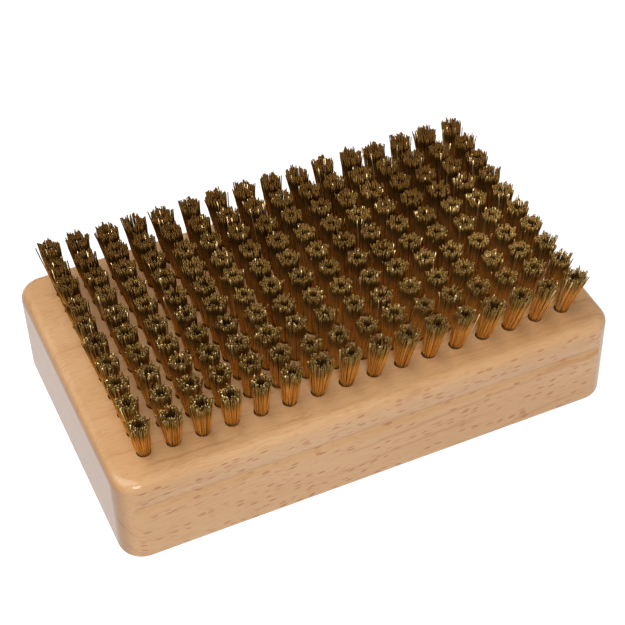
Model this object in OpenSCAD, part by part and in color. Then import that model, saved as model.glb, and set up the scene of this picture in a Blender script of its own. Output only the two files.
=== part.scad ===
// Hand block wire brush. It lies on its back with the wires up.
// The origin is the bottom centre of the block's back face. +Z points along the wires,
// +X runs along the block's length and +Y across its width.

/* [Block] */
// Length of the wooden block, along X
block_l = 125; // [100:1:160]
// Width of the wooden block, along Y
block_w = 75; // [62:0.5:95]
// Thickness of the wooden block
block_h = 25; // [19:0.5:32]
// Radius of the four upright corners, as seen from above
corner_r = 6; // [5:0.5:12]
// Rounding of the edge round the wired face
top_edge_r = 2.5; // [1:0.25:3.5]
// Rounding of the edge round the back
back_edge_r = 1.5; // [1:0.25:4]

/* [Finger grooves] */
// Distance of a groove's upper edge below the wired face
groove_top = 3.8; // [3.6:0.2:6]
// Height of the long upper slope, from the groove's upper edge down to its deepest line
groove_upper_h = 4.6; // [2.5:0.1:5]
// Height of the short lower slope, from the deepest line down to the groove's lower edge
groove_lower_h = 2; // [1.8:0.1:3]
// Depth of the groove at its deepest line
groove_depth = 0.7; // [0.5:0.1:1.2]
// Radius of the hollow along the groove's deepest line
groove_nose_r = 1.2; // [0.6:0.1:1.5]

/* [Holes] */
// Number of tuft rows along the length
rows = 16; // [10:1:18]
// Number of tufts in each row, across the width
tufts_per_row = 10; // [6:1:10]
// Distance from the block's ends to the centre of the first and last row of holes
end_margin = 9.6; // [8:0.1:14]
// Distance from the block's long sides to the centre of the nearest holes
side_margin = 9.4; // [9:0.1:14]
// Diameter of a tuft hole
hole_d = 3.4; // [2.8:0.1:4.1]
// Depth of a tuft hole along its own axis
hole_depth = 12; // [9:0.5:14.5]
// Outward lean of the holes in the first and last row, in degrees
end_lean = 5; // [0:0.5:8]
// Outward lean of the holes next to the long sides, in degrees
side_lean = 14; // [0:0.5:17]

/* [Wire tufts] */
// Height of the trimmed wire tips above the wired face
wire_h = 13.5; // [10:0.5:20]
// Diameter of a tuft at its trimmed tip
tip_d = 5.2; // [3.8:0.1:5.6]
// Height above the wired face at which a tuft starts to spread
neck_h = 0.8; // [0.7:0.1:2]
// Gap between a tuft's folded root and the wall of its hole, all round
tuft_clear = 0.05; // [0.02:0.01:0.2]

/* [Anchors] */
// Thickness of the flat anchor that holds a tuft
anchor_t = 0.45; // [0.3:0.05:0.7]
// Height of the anchor, measured along the hole
anchor_h = 2; // [1.2:0.1:3]
// Length of each anchor end that bites into the wood
anchor_bite = 0.5; // [0.3:0.05:0.7]
// Thickness of the wire fold under the anchor
fold_h = 0.9; // [0.6:0.1:1.5]
// Gap between an anchor's flat sides and the wires beside it
anchor_clear = 0.02; // [0.01:0.01:0.05]

/* [Hidden] */
$fn = 48;
arc_steps = 8;            // flats along each arc of a groove's cross-section
past = 1;                 // how far a cutting shape runs past the surface that it cuts
trim_spare = 3;           // how far a tuft runs past the trimming level before it is trimmed
tip_z = block_h + wire_h; // the trimming level
root_d = hole_d - 2 * tuft_clear;
anchor_l = hole_d + 2 * anchor_bite;
row_numbers = [1 : rows];
tuft_numbers = [1 : tufts_per_row];
function padded(n) = n < 10 ? str("0", n) : str(n);
function tuft_node(i) = str("tuft_row_", padded(i));
function anchor_node(i) = str("anchor_row_", padded(i));

// Place of item n of count along one direction, from -1 at the first to 1 at the last.
function spread(n, count) = 2 * (n - 1) / (count - 1) - 1;
function row_x(i) = spread(i, rows) * (block_l / 2 - end_margin);
function tuft_y(j) = spread(j, tufts_per_row) * (block_w / 2 - side_margin);
function row_lean(i) = spread(i, rows) * end_lean;
function tuft_lean(j) = spread(j, tufts_per_row) * side_lean;

// Puts children into the frame of hole j in row i: origin at the hole's mouth, +Z out along its axis.
module at_hole(i, j) {
    translate([row_x(i), tuft_y(j), block_h])
        rotate([-tuft_lean(j), row_lean(i), 0])
            children();
}

// Upright outline of the block over a length l, with both edges rounded. z runs up from 0.
module edge_outline(l) {
    difference() {
        translate([-l / 2, 0]) square([l, block_h]);
        for (side = [-1, 1]) {
            edge_waste(side * l / 2, block_h, -side, -1, top_edge_r);
            edge_waste(side * l / 2, 0, -side, 1, back_edge_r);
        }
    }
}

// The waste outside a quarter round of radius r, at the corner (x, z). sx and sz point into the block.
module edge_waste(x, z, sx, sz, r) {
    translate([x, z]) scale([sx, sz]) difference() {
        translate([-past, -past]) square(r + past);
        translate([r, r]) circle(r);
    }
}

// The block before it is drilled and grooved: two crossed slabs and four turned corner posts.
module blank() {
    rotate([90, 0, 90]) linear_extrude(block_l - 2 * corner_r, center = true) edge_outline(block_w);
    rotate([90, 0, 0]) linear_extrude(block_w - 2 * corner_r, center = true) edge_outline(block_l);
    for (sx = [-1, 1], sy = [-1, 1])
        translate([sx * (block_l / 2 - corner_r), sy * (block_w / 2 - corner_r), 0])
            rotate_extrude() intersection() {
                edge_outline(2 * corner_r);
                square([corner_r + past, block_h]);
            }
}

// Radius of the shoulder that joins a slope of height h smoothly to the block's side and to the hollow.
function shoulder_r(h) = (h ^ 2 + groove_depth ^ 2) / (2 * groove_depth) - groove_nose_r;

// Steepness, in degrees, at which that shoulder meets the hollow.
function meeting_angle(h) = asin(h / (shoulder_r(h) + groove_nose_r));

// Points along an arc round c, from angle first up to just before angle last.
function arc_points(c, r, first, last) = [
    for (k = [0 : arc_steps - 1]) let (a = first + (last - first) * k / arc_steps) c + r * [cos(a), sin(a)]
];

// Cross-section of a finger groove. x runs into the block from its side, y is the height.
// A shoulder leaves the side at each edge of the groove, and both run into the round hollow.
module groove_section() {
    top = block_h - groove_top;
    deepest = top - groove_upper_h;
    foot = deepest - groove_lower_h;
    upper_r = shoulder_r(groove_upper_h);
    lower_r = shoulder_r(groove_lower_h);
    upper_a = meeting_angle(groove_upper_h);
    lower_a = meeting_angle(groove_lower_h);
    polygon(concat(
        [[-past, foot], [-past, top]],
        arc_points([upper_r, top], upper_r, 180, 180 + upper_a),
        arc_points([groove_depth - groove_nose_r, deepest], groove_nose_r, upper_a, -lower_a),
        arc_points([lower_r, foot], lower_r, 180 - lower_a, 180),
        [[0, foot]]
    ));
}

module groove(side) {
    translate([0, side * block_w / 2, 0]) scale([1, -side, 1])
        rotate([90, 0, 90]) linear_extrude(block_l + 2 * past, center = true) groove_section();
}

// One drilled hole, with the two narrow cuts that the anchor's ends press into the wood.
module hole_cut() {
    translate([0, 0, -hole_depth]) cylinder(d = hole_d, h = hole_depth + past);
    anchor_body();
}

module anchor_body(clear = 0) {
    translate([-anchor_l / 2, -anchor_t / 2 - clear, -hole_depth + fold_h])
        cube([anchor_l, anchor_t + 2 * clear, anchor_h]);
}

module block() {
    color([0.82, 0.66, 0.50]) difference() {
        blank();
        for (side = [-1, 1]) groove(side);
        for (i = row_numbers, j = tuft_numbers) at_hole(i, j) hole_cut();
    }
}

// One tuft before it is trimmed: a round root in the hole, then a spreading bundle of wire
// that runs on past the trimming level.
module tuft_body() {
    spread_h = wire_h / (cos(side_lean) * cos(end_lean)) - neck_h;
    widening = (tip_d - root_d) / spread_h;
    difference() {
        union() {
            translate([0, 0, -hole_depth]) cylinder(d = root_d, h = hole_depth + neck_h);
            translate([0, 0, neck_h])
                cylinder(d1 = root_d, d2 = tip_d + widening * trim_spare, h = spread_h + trim_spare);
        }
        anchor_body(anchor_clear);
    }
}

// The tufts of row i, trimmed level.
module tuft_row(i) {
    color([0.66, 0.50, 0.24]) difference() {
        for (j = tuft_numbers) at_hole(i, j) tuft_body();
        translate([-block_l, -block_w, tip_z]) cube([2 * block_l, 2 * block_w, wire_h]);
    }
}

// The anchors of row i.
module anchor_row(i) {
    color([0.70, 0.71, 0.72]) for (j = tuft_numbers) at_hole(i, j) anchor_body();
}

block();
for (i = row_numbers) tuft_row(i);
for (i = row_numbers) anchor_row(i);
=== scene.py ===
"""Hand block wire brush: a lacquered beech block, and brass wire tufts that are drawn wire by wire.

Everything is in metres, in the CAD model's frame: the block's flat back lies on z = 0, +Z runs out of the
wired face, +X along the block and +Y across it.
"""

import math

import bpy
import numpy as np
from mathutils import Matrix, Vector


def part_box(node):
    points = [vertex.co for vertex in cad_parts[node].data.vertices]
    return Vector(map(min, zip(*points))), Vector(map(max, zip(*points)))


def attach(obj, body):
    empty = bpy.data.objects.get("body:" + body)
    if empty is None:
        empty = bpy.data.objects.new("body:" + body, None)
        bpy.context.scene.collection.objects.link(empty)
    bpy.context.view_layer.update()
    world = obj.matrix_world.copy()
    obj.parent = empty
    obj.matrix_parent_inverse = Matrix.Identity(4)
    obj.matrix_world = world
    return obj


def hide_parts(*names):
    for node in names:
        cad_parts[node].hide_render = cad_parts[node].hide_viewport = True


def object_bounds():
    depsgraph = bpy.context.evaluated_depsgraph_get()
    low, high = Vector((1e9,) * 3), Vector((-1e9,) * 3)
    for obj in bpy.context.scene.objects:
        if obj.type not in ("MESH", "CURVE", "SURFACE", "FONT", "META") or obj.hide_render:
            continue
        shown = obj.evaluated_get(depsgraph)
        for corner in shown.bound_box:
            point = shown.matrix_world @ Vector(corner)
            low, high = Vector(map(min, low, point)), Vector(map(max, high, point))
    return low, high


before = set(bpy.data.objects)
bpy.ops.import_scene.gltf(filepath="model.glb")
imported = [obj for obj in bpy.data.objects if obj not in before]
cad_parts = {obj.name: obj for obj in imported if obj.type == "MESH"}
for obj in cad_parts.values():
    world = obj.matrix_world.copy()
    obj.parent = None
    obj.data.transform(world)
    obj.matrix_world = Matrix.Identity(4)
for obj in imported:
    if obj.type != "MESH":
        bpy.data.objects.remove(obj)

MM = 0.001
cad_bounds = [[float(c) for c in corner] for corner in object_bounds()]

# ---------------------------------------------------------------- what the frame gives
FACE_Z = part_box("block")[1].z
TIP_Z = cad_bounds[1][2]
TUFT_ROWS = sorted(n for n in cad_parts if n.startswith("tuft_row_"))
ANCHOR_ROWS = sorted(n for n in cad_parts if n.startswith("anchor_row_"))
TUFTS_PER_ROW = 10

# ---------------------------------------------------------------- the wires
SEED = 7
WIRES = 150                 # wire ends in one tuft
WIRE_R = 0.14 * MM
WIRE_SIDES = 4
NECK_R = 1.42 * MM          # to the centre of the outermost wire, where a tuft leaves its hole
NECK_SHIFT = (0.12 * MM, 0.03 * MM)   # the bundle leans against one side of its hole
TIP_R = 2.50 * MM           # to the centre of the outermost wire, at the tip
TIP_VOID = 0.46             # radius of the thin middle of a tip, as a share of TIP_R
TIP_DRIFT = 0.16 * MM       # how far a whole tuft leans off its hole's axis at the tip
SPREAD_POWER = 0.70         # under 1, a wire spreads most just above its hole
CRIMP = 0.06 * MM           # half height of the waves in a wire
CRIMP_LENGTH = 5.5 * MM     # length of one wave
CRIMP_POWER = 0.5           # the waves grow from nothing at the mouth with rise ^ CRIMP_POWER
BOW = 0.14 * MM             # how far a wire bends off its line, half way up
UNEVEN = 0.30 * MM          # how far cut ends fall short of the trimmed level
UNEVEN_TUFT = 0.25 * MM     # the most that a whole tuft falls short of it
SHORT_SHARE = 0.04          # share of wires that were broken off lower
SHORT_BY = (0.3 * MM, 1.4 * MM)
STRAY_SHARE = 0.02          # share of wires that stick out
STRAY_OUT = 0.8 * MM
STRAY_LEAST = 0.3           # the least of STRAY_OUT that a stray goes out by, as a share
CLUMP_PULL = 0.88           # how strongly the tips draw together in clumps, from 0 to 1
CLUMP_OUT = 0.14            # how much further out a clump stands than the gaps beside it
CLUMP_POWER = 3.0           # over 1, clumps form only near the tip
CLUMPS = (5, 8)             # fewest and most clumps in a tuft
TURN_SCATTER = 0.12         # radians, of a wire's place round its bundle
TIP_TURN_SCATTER = 0.08     # radians more, at the tip
REACH_SCATTER = 0.07        # of a wire's distance from the axis at the tip, as a share
TUFT_REACH_SCATTER = 0.04   # the same for a whole tuft
RISE = np.array([0.0, 0.13, 0.36, 0.60, 0.82, 1.0])   # stations of a wire, from mouth to tip
ANCHOR_SIDE = 0.46 * MM     # nearest that a wire's centre comes to the anchor's middle plane
SQUEEZE_SIDE = 0.65         # a bundle beside its anchor, as a share of its size at the mouth
SQUEEZE_ALONG = 0.8
FOLD_LEVELS = np.array([-1.45, -1.15, 1.3]) * MM   # fold, side and top of the anchor, from its middle


def node_points(name):
    """The vertices of a CAD node as an array of points."""
    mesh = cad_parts[name].data
    points = np.empty(len(mesh.vertices) * 3)
    mesh.vertices.foreach_get("co", points)
    return points.reshape(-1, 3)


def box_middles(points, count):
    """Splits points into count groups at the widest gaps along Y and gives the middle of each group's box."""
    points = points[np.argsort(points[:, 1])]
    gaps = np.diff(points[:, 1])
    cuts = np.sort(np.argsort(gaps)[-(count - 1):]) + 1
    groups = np.split(points, cuts)
    return np.array([(g.min(axis=0) + g.max(axis=0)) / 2 for g in groups])


def unit(vectors):
    """Each vector divided by its own length."""
    return vectors / np.linalg.norm(vectors, axis=-1, keepdims=True)


def tuft_frames(tuft_row, anchor_row):
    """Mouth, depth of the anchor and the three directions (across, side, out) of each hole in a row.
    A hole's axis runs from the middle of its anchor to the middle of its tuft's trimmed tip."""
    cad = node_points(tuft_row)
    tips = box_middles(cad[cad[:, 2] > TIP_Z - 0.05 * MM], TUFTS_PER_ROW)
    anchors = box_middles(node_points(anchor_row), TUFTS_PER_ROW)
    out = unit(tips - anchors)
    depth = (FACE_Z - anchors[:, 2]) / out[:, 2]
    mouth = anchors + out * depth[:, None]
    across = unit(np.stack([out[:, 2], np.zeros(len(out)), -out[:, 0]], axis=1))
    side = np.cross(out, across)
    return mouth, depth, across, side, out


def wire_paths(tuft_row, anchor_row, rng):
    """Centre lines of a row's wires, as an array of tufts x wires x stations x 3, and their across direction.

    In a hole's own frame a wire's place is (a, s) off the axis. At the mouth the wires fill a disc in a
    sunflower pattern: radius NECK_R * sqrt(i / n), each turned by the golden angle from the last. At the tip
    they fill a ring and draw together in k clumps: tip angle = angle - CLUMP_PULL * sin(k * angle) / k.
    Between them, place = mouth + (even tip - mouth) * rise ^ SPREAD_POWER + (clumped tip - even tip) *
    rise ^ CLUMP_POWER, plus a sine wave for the crimp and half a sine for the bow. Below the mouth each wire
    runs down beside the anchor and turns in under it to the anchor's middle plane, where it ends. The
    wires stand closer than their own thickness, most of all in the hole, so they run through each other.
    """
    mouth, depth, across, side, out = tuft_frames(tuft_row, anchor_row)
    tufts = len(mouth)
    shape = (tufts, WIRES)
    index = (np.arange(WIRES) + 0.5) / WIRES
    golden = math.pi * (3 - math.sqrt(5))
    turn = np.arange(WIRES) * golden + rng.uniform(0, 2 * math.pi, (tufts, 1))
    turn = turn + rng.normal(0, TURN_SCATTER, shape)
    radius = np.sqrt(index) * np.ones(shape)
    neck = NECK_R * np.stack([radius * np.cos(turn), radius * np.sin(turn)], axis=-1)

    ring = np.sqrt(TIP_VOID ** 2 + (1 - TIP_VOID ** 2) * index) * TIP_R
    ring = ring * (1 + rng.normal(0, REACH_SCATTER, shape))
    ring = ring * (1 + rng.normal(0, TUFT_REACH_SCATTER, (tufts, 1)))
    stray = rng.random(shape) < STRAY_SHARE
    ring = ring + np.where(stray, rng.uniform(STRAY_LEAST, 1.0, shape) * STRAY_OUT, 0)
    clumps = rng.integers(CLUMPS[0], CLUMPS[1] + 1, (tufts, 1))
    even = np.stack([ring * np.cos(turn), ring * np.sin(turn)], axis=-1)
    ring = ring * (1 + CLUMP_OUT * np.cos(clumps * turn))
    tip_turn = turn - CLUMP_PULL * np.sin(clumps * turn) / clumps
    tip_turn = tip_turn + rng.normal(0, TIP_TURN_SCATTER, shape)
    tip = np.stack([ring * np.cos(tip_turn), ring * np.sin(tip_turn)], axis=-1)
    drift = rng.normal(0, TIP_DRIFT, (tufts, 1, 2))
    tip, even = tip + drift, even + drift

    neck = neck + np.array(NECK_SHIFT)
    rise = RISE[None, None, :, None]
    place = neck[:, :, None] + (even - neck)[:, :, None] * rise ** SPREAD_POWER
    place = place + (tip - even)[:, :, None] * rise ** CLUMP_POWER
    wave_way = rng.uniform(0, 2 * math.pi, shape)[..., None]
    phase = rng.uniform(0, 2 * math.pi, shape)[..., None]
    free = (TIP_Z - FACE_Z) / out[:, 2]
    wave = CRIMP * np.sin(2 * math.pi * free[:, None, None] * RISE / CRIMP_LENGTH + phase)
    wave = wave * RISE ** CRIMP_POWER
    wave = wave + BOW * rng.normal(0, 1, shape)[..., None] * np.sin(math.pi * RISE)
    place = place + wave[..., None] * np.stack([np.cos(wave_way), np.sin(wave_way)], axis=-1)

    short = np.abs(rng.normal(0, UNEVEN, shape)) + rng.uniform(0, UNEVEN_TUFT, (tufts, 1))
    short = short + np.where(rng.random(shape) < SHORT_SHARE, rng.uniform(*SHORT_BY, shape), 0)
    lift = place[:, :, -1, :1] * across[:, None, 2:] + place[:, :, -1, 1:] * side[:, None, 2:]
    height = (TIP_Z - WIRE_R - short - mouth[:, None, 2] - lift[..., 0]) / out[:, None, 2]
    height = height[..., None] * RISE

    beside = np.where(neck[..., 1] < 0, -1, 1) * (ANCHOR_SIDE + SQUEEZE_SIDE * np.abs(neck[..., 1]))
    along = neck[..., 0] * SQUEEZE_ALONG
    low = np.stack([along, beside], axis=-1)
    fold = np.stack([along, beside * 0], axis=-1)
    roots = np.stack([fold, low, low], axis=2)
    root_height = -depth[:, None] + FOLD_LEVELS
    root_height = np.broadcast_to(root_height[:, None, :], shape + (3,))

    place = np.concatenate([roots, place], axis=2)
    height = np.concatenate([root_height, height], axis=2)
    line = mouth[:, None, None]
    line = line + place[..., :1] * across[:, None, None] + place[..., 1:] * side[:, None, None]
    line = line + height[..., None] * out[:, None, None]
    return line, across


def tube_mesh(name, lines, across, tone, rise):
    """One closed tube round each line. A ring lies square to the line: with t the line's direction,
    ring point = line + WIRE_R * (cos(angle) * n + sin(angle) * (t x n)), where n is across made square to t.
    lines is wires x stations x 3, across wires x 3, tone one number a wire and rise one a station."""
    wires, stations = lines.shape[:2]
    run = unit(np.gradient(lines, axis=1))
    normal = unit(across[:, None] - (across[:, None] * run).sum(-1, keepdims=True) * run)
    binormal = np.cross(run, normal)
    angle = np.arange(WIRE_SIDES) * 2 * math.pi / WIRE_SIDES
    ring = np.cos(angle)[:, None] * normal[:, :, None] + np.sin(angle)[:, None] * binormal[:, :, None]
    points = (lines[:, :, None] + WIRE_R * ring).reshape(-1, 3)

    number = np.arange(len(points)).reshape(wires, stations, WIRE_SIDES)
    after = np.roll(number, -1, axis=2)
    sides = np.stack([number[:, :-1], after[:, :-1], after[:, 1:], number[:, 1:]], axis=-1).reshape(-1, 4)
    ends = np.concatenate([number[:, 0, ::-1], number[:, -1]])
    corners = np.concatenate([sides.ravel(), ends.ravel()])
    starts = np.concatenate([np.arange(len(sides)) * 4, 4 * len(sides) + np.arange(len(ends)) * WIRE_SIDES])

    mesh = bpy.data.meshes.new(name)
    mesh.vertices.add(len(points))
    mesh.vertices.foreach_set("co", points.ravel())
    mesh.loops.add(len(corners))
    mesh.loops.foreach_set("vertex_index", corners)
    mesh.polygons.add(len(starts))
    mesh.polygons.foreach_set("loop_start", starts)
    mesh.polygons.foreach_set("use_smooth", np.arange(len(starts)) < len(sides))
    for title, values in (("tone", np.repeat(tone, stations * WIRE_SIDES)),
                          ("rise", np.tile(np.repeat(rise, WIRE_SIDES), wires))):
        mesh.attributes.new(title, "FLOAT", "POINT").data.foreach_set("value", values.astype(np.float32))
    mesh.update(calc_edges=True)
    mesh.validate()
    piece = bpy.data.objects.new(name, mesh)
    bpy.context.scene.collection.objects.link(piece)
    return piece


# ---------------------------------------------------------------- shader maths
class Value:
    """A number that varies over a surface. Python's operators on it add Math nodes."""

    def __init__(self, finish, socket):
        self.finish = finish
        self.socket = socket

    def math(self, operation, *numbers):
        return self.finish.add("ShaderNodeMath", {"operation": operation}, *numbers)

    def __add__(self, other):
        return self.math("ADD", self, other)

    def __sub__(self, other):
        return self.math("SUBTRACT", self, other)

    def __rsub__(self, other):
        return self.math("SUBTRACT", other, self)

    def __mul__(self, other):
        return self.math("MULTIPLY", self, other)

    def __truediv__(self, other):
        return self.math("DIVIDE", self, other)

    def __pow__(self, other):
        return self.math("POWER", self, other)

    __radd__ = __add__
    __rmul__ = __mul__

    def part(self, index):
        """Output number index of the node that this value comes from."""
        return Value(self.finish, self.socket.node.outputs[index])

    def between(self, low, high):
        """0 below low, 1 above high, and smooth between them. low may be the larger."""
        kind = {"interpolation_type": "SMOOTHSTEP", "clamp": True}
        return self.finish.add("ShaderNodeMapRange", kind, self, low, high, 0.0, 1.0)

    def sine(self):
        return self.math("SINE", self)

    def size(self):
        """The number without its sign."""
        return self.math("ABSOLUTE", self)


class Finish:
    """A material with one Principled BSDF, built node by node."""

    def __init__(self, name, **constants):
        self.material = bpy.data.materials.new(name)
        self.material.use_nodes = True
        self.tree = self.material.node_tree
        self.shader = self.tree.nodes["Principled BSDF"]
        for title, number in constants.items():
            self.shader.inputs[title.replace("_", " ")].default_value = number

    def add(self, kind, settings=None, *numbers, **named):
        """A node of this kind. settings are its properties, numbers its sockets in order, named its sockets
        by identifier or name. Gives its first live output."""
        node = self.tree.nodes.new(kind)
        for title, setting in (settings or {}).items():
            setattr(node, title, setting)
        for socket, number in zip(node.inputs, numbers):
            self.feed(socket, number)
        for title, number in named.items():
            socket = next(s for s in node.inputs if title in (s.identifier, s.name.replace(" ", "_")))
            self.feed(socket, number)
        return Value(self, next(s for s in node.outputs if s.enabled))

    def feed(self, socket, number):
        """Links a Value to a socket, or sets a plain number or colour on it."""
        if isinstance(number, Value):
            self.tree.links.new(number.socket, socket)
        elif hasattr(number, "__len__") and socket.type == "RGBA":
            socket.default_value = (*number, 1.0)
        else:
            socket.default_value = number

    def mix(self, factor, first, second):
        """Mixes two colours: the first where factor is 0 and the second where it is 1."""
        return self.add("ShaderNodeMix", {"data_type": "RGBA"},
                        Factor_Float=factor, A_Color=first, B_Color=second)

    def vector(self, operation, first, second):
        return self.add("ShaderNodeVectorMath", {"operation": operation}, first, second)

    def place(self, size=(1, 1, 1)):
        """Object coordinates, counted in steps of size millimetres along each axis."""
        where = self.add("ShaderNodeTexCoord").part(3)
        return self.vector("MULTIPLY", where, tuple(1 / (MM * s) for s in size))

    def noise(self, place, detail=2.0, roughness=0.5):
        """Noise about 0.5 over a place, one cell a unit."""
        return self.add("ShaderNodeTexNoise", {"noise_dimensions": "3D"}, Vector=place, Scale=1.0,
                        Detail=detail, Roughness=roughness)

    def attribute(self, name):
        """A number that the piece's mesh carries."""
        return self.add("ShaderNodeAttribute", {"attribute_name": name}).part(2)

    def bump(self, height, distance, strength=1.0):
        """Feeds the shader's normal with a height in metres times distance."""
        raised = self.add("ShaderNodeBump", None, Strength=strength, Distance=distance, Height=height)
        self.set("Normal", raised)

    def set(self, title, number):
        self.feed(self.shader.inputs[title], number)


LOG_Y = 34                  # millimetres from the block's middle plane to the log's axis, along Y
LOG_DEPTH = 48              # millimetres from the block's back down to it
LOG_TURN = 0.040            # how the axis runs off the block's length, across it and down
LOG_TILT = 0.020
RING_WAVE = 1.7             # radians of the rings' wave in a millimetre, so a ring is 3.7 mm wide


def beech():
    """Lacquered beech. The log's axis runs nearly along the block, below it and behind, so the growth rings
    are long lines on the wired face and the long sides, and arcs on the ends."""
    wood = Finish("lacquered_beech", Roughness=0.5, IOR=1.5, Specular_IOR_Level=0.12,
                  Coat_Weight=0.50, Coat_Roughness=0.08, Coat_IOR=1.5)
    place = wood.place()
    split = wood.add("ShaderNodeSeparateXYZ", None, place)
    x, y, z = split.part(0), split.part(1), split.part(2)

    # Growth rings: distance from a tilted log axis, disturbed by slow noise and by a finer ripple.
    wander = wood.noise(wood.place((45, 12, 12)), detail=3.0, roughness=0.45) - 0.5
    ripple = wood.noise(wood.place((7, 5, 5)), detail=2.0) - 0.5
    ring_y = y - LOG_Y + x * LOG_TURN + wander * 8
    ring_z = z + LOG_DEPTH - x * LOG_TILT + wander * 6 + ripple * 2.0
    reach = (ring_y * ring_y + ring_z * ring_z) ** 0.5
    ring = (reach * RING_WAVE).sine()
    strength = wood.noise(wood.place((22, 4, 4)), detail=2.0)
    late = ring.between(0.78, 1.0) * strength.between(0.42, 0.65)

    bend = ripple * 3.0
    streak = wood.add("ShaderNodeCombineXYZ", None, x / 6.5, (y + bend) / 0.42, (z + bend) / 0.42)
    streak = wood.noise(streak, detail=3.0, roughness=0.55)
    patch = wood.noise(wood.place((50, 14, 10)), detail=2.0)
    fibre = wood.noise(wood.place((2.2, 0.16, 0.16)), detail=2.0)

    colour = wood.mix(patch.between(0.3, 0.7), (0.420, 0.252, 0.125), (0.384, 0.219, 0.100))
    colour = wood.mix(streak.between(0.42, 0.78) * 0.60, colour, (0.335, 0.160, 0.062))
    colour = wood.mix(fibre.between(0.5, 0.8) * 0.30, colour, (0.300, 0.150, 0.060))

    # Rays: short dashes where the saw cuts across them, faint on the wired face. Each cell's own number
    # decides how strong its dash is.
    cells = wood.add("ShaderNodeCombineXYZ", None, x * 0.30, reach * 1.65, z * 0.50 + y * 0.20)
    ray = wood.add("ShaderNodeTexVoronoi", {"feature": "F1", "voronoi_dimensions": "3D"},
                   Vector=cells, Scale=1.0, Randomness=1.0)
    chance = wood.add("ShaderNodeSeparateXYZ", None, ray.part(1))
    dash = ray.between(0.40, 0.22) * chance.between(0.25, 0.70)
    facing = wood.add("ShaderNodeSeparateXYZ", None, wood.add("ShaderNodeNewGeometry").part(1))
    on_side = facing.part(1).size().between(0.80, 0.98)
    on_end = facing.part(0).size().between(0.50, 1.0)
    colour = wood.mix(late * 0.36, colour, (0.260, 0.108, 0.036))
    colour = wood.mix(dash * (0.14 + on_side * 0.66) * (1.0 - on_end), colour, (0.275, 0.100, 0.035))
    end = wood.mix(fibre.between(0.3, 0.7), (0.262, 0.128, 0.053), (0.185, 0.086, 0.033))
    end = wood.mix(late * 0.60, end, (0.110, 0.046, 0.016))
    colour = wood.mix(on_end * 0.85, colour, end)

    wood.set("Base Color", colour)
    wood.set("Roughness", 0.40 + streak * 0.16)
    wood.bump(streak * 0.5 + fibre * 0.4 - dash * 0.3, 0.02 * MM, 0.3)
    return wood.material


def brass_wire():
    """Drawn brass wire. Painted shade darkens it to brown and olive towards the cut ends and towards the
    back, mixed with random tarnish, and a few wires are painted bright as glints.
    """
    wire = Finish("brass_wire", Metallic=0.90, Specular_IOR_Level=0.1, Specular_Tint=(0.55, 0.36, 0.15, 1.0))
    tone = wire.attribute("tone")
    rise = wire.attribute("rise")
    speck = wire.noise(wire.place((0.35, 0.35, 0.35)), detail=2.0)
    # Painted shade: a gradient darkens the wires towards the back (+Y), mixed with random tarnish from slow
    # noise.
    across = wire.add("ShaderNodeSeparateXYZ", None, wire.place()).part(1)
    cloud = wire.noise(wire.place((16, 16, 16)), detail=1.0)
    back_shade_and_tarnish = (across / 60 + cloud).between(0.05, 0.95)
    colour = wire.mix(tone, (0.80, 0.440, 0.105), (0.98, 0.580, 0.160))
    colour = wire.mix(back_shade_and_tarnish * 0.85, colour, (0.38, 0.155, 0.028))
    # Painted shade: the wires darken to brown and olive towards their cut ends, where the crowns and
    # neighbouring wires shade them, and darker still towards the back.
    upper_shade = wire.mix(back_shade_and_tarnish, (0.165, 0.098, 0.028), (0.042, 0.020, 0.005))
    colour = wire.mix(rise.between(0.52, 0.92) * 0.88, colour, upper_shade)

    # The cut ends are the only faces that look straight up. Some are dark, some bare.
    level = wire.add("ShaderNodeSeparateXYZ", None, wire.add("ShaderNodeNewGeometry").part(3)).part(2)
    end = level.between(0.70, 0.90)
    # The cut ends are painted darker towards the back too, with the same painted shade.
    cut = wire.mix(back_shade_and_tarnish, (0.340, 0.245, 0.095), (0.260, 0.180, 0.066))
    colour = wire.mix(end, colour, wire.mix(tone.between(0.40, 0.95), (0.024, 0.015, 0.006), cut))
    # Painted glints: a few wires, picked at random by tone, get a bright pale colour all along.
    colour = wire.mix(tone.between(0.970, 0.980), colour, (0.85, 0.66, 0.34))
    colour = wire.mix(speck.between(0.45, 0.75) * 0.4, colour, (0.16, 0.080, 0.020))
    wire.set("Base Color", colour)
    wire.set("Roughness", 0.26 + speck * 0.18 + end * 0.06)
    return wire.material


def anchor_steel():
    """Rolled flat steel wire."""
    steel = Finish("anchor_steel", Metallic=1.0)
    grain = steel.noise(steel.place((2.0, 0.1, 0.1)), detail=2.0)
    steel.set("Base Color", steel.mix(grain, (0.42, 0.42, 0.43), (0.60, 0.60, 0.61)))
    steel.set("Roughness", 0.3 + grain * 0.25)
    steel.bump(grain, 0.01 * MM, 0.4)
    return steel.material


# ---------------------------------------------------------------- the object
wood = beech()
brass = brass_wire()
steel = anchor_steel()

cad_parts["block"].material_slots[0].material = wood
for name in ANCHOR_ROWS:
    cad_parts[name].material_slots[0].material = steel

for number, (tuft_row, anchor_row) in enumerate(zip(TUFT_ROWS, ANCHOR_ROWS)):
    rng = np.random.default_rng(SEED + number)
    lines, across = wire_paths(tuft_row, anchor_row, rng)
    stations = lines.shape[2]
    count = TUFTS_PER_ROW * WIRES
    rise = np.concatenate([np.zeros(stations - len(RISE)), RISE])
    piece = tube_mesh(
        tuft_row.replace("tuft_row", "wires"),
        lines.reshape(count, stations, 3), np.repeat(across, WIRES, axis=0), rng.random(count), rise,
    )
    piece.data.materials.append(brass)
    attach(piece, "root")
    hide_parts(tuft_row)

# ---------------------------------------------------------------- floor, light and camera
FLOOR = 3.0                 # half the side of the floor
CENTRE = (0, 0, FACE_Z)     # what the lights and the camera face
WORLD_LIGHT = 0.22

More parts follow.
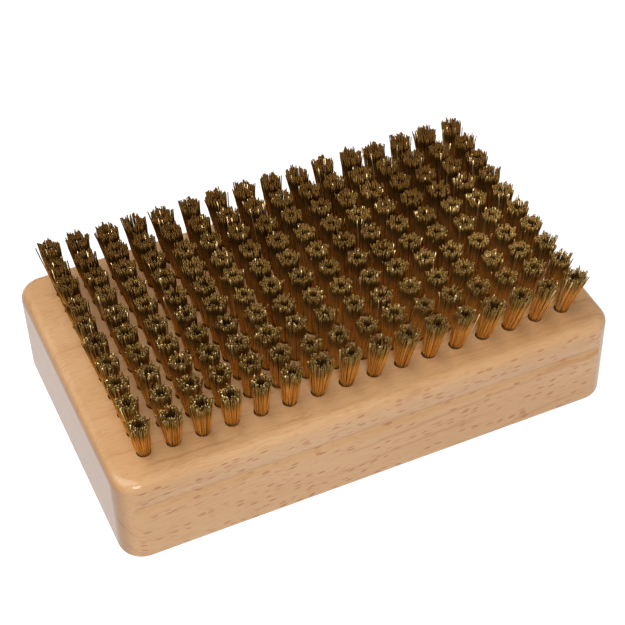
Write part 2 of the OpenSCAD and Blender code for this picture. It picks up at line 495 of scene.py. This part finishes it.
floor_mesh = bpy.data.meshes.new("floor")
floor_mesh.from_pydata([(-FLOOR, -FLOOR, 0), (FLOOR, -FLOOR, 0), (FLOOR, FLOOR, 0), (-FLOOR, FLOOR, 0)],
                       [], [(0, 1, 2, 3)])
floor = bpy.data.objects.new("floor", floor_mesh)
bpy.context.scene.collection.objects.link(floor)
floor_mesh.materials.append(Finish("light_table", Base_Color=(0.12, 0.12, 0.12, 1.0), Roughness=0.9,
                                   Emission_Color=(1.0, 1.0, 1.0, 1.0), Emission_Strength=1.0).material)


def away(azimuth, elevation, distance):
    """The direction from the middle of the wired face towards this azimuth and elevation, and the place at
    this distance along it. Azimuth 0 is straight in front."""
    azimuth, elevation = math.radians(azimuth), math.radians(elevation)
    back = Vector((math.sin(azimuth) * math.cos(elevation), -math.cos(azimuth) * math.cos(elevation),
                   math.sin(elevation)))
    return back, Vector(CENTRE) + back * distance


def softbox(name, azimuth, elevation, distance, size, radiance):
    """A square area light that faces the middle of the wired face. radiance is the brightness of its face."""
    light = bpy.data.lights.new(name, "AREA")
    light.shape = "SQUARE"
    light.size = size
    light.energy = radiance * math.pi * size * size
    lamp = bpy.data.objects.new(name, light)
    back, lamp.location = away(azimuth, elevation, distance)
    lamp.rotation_euler = back.to_track_quat("Z", "Y").to_euler()
    bpy.context.scene.collection.objects.link(lamp)


softbox("key", azimuth=-18, elevation=38, distance=1.0, size=0.40, radiance=13.0)
softbox("left", azimuth=-105, elevation=66, distance=1.1, size=1.10, radiance=4.5)
softbox("right", azimuth=50, elevation=40, distance=1.5, size=1.80, radiance=0.35)
softbox("front", azimuth=-5, elevation=20, distance=1.5, size=2.20, radiance=0.35)

world = bpy.data.worlds.new("studio")
world.use_nodes = True
world.node_tree.nodes["Background"].inputs[0].default_value = (1, 1, 1, 1)
world.node_tree.nodes["Background"].inputs[1].default_value = WORLD_LIGHT
bpy.context.scene.world = world
bpy.context.scene.view_settings.view_transform = "Standard"


def aim_camera(azimuth, elevation, roll, distance, right_shift, up_shift, lens):
    """A camera that looks at the middle of the wired face from this azimuth, elevation and distance,
    turned by roll and moved sideways and up in its own frame."""
    back, place = away(azimuth, elevation, distance)
    roll = math.radians(roll)
    level = Vector((-back.y, back.x, 0)).normalized()
    upright = back.cross(level)
    right = math.cos(roll) * level + math.sin(roll) * upright
    up = back.cross(right)
    data = bpy.data.cameras.new("camera")
    data.lens = lens
    data.sensor_width = 36
    data.clip_start = 0.01
    camera = bpy.data.objects.new("camera", data)
    place = place + right * right_shift + up * up_shift
    camera.matrix_world = Matrix.Translation(place) @ Matrix((right, up, back)).transposed().to_4x4()
    bpy.context.scene.collection.objects.link(camera)
    bpy.context.scene.camera = camera


aim_camera(azimuth=-22.97, elevation=44.22, roll=-1.77, distance=0.4140,
           right_shift=0.63 * MM, up_shift=-2.91 * MM, lens=99.2)
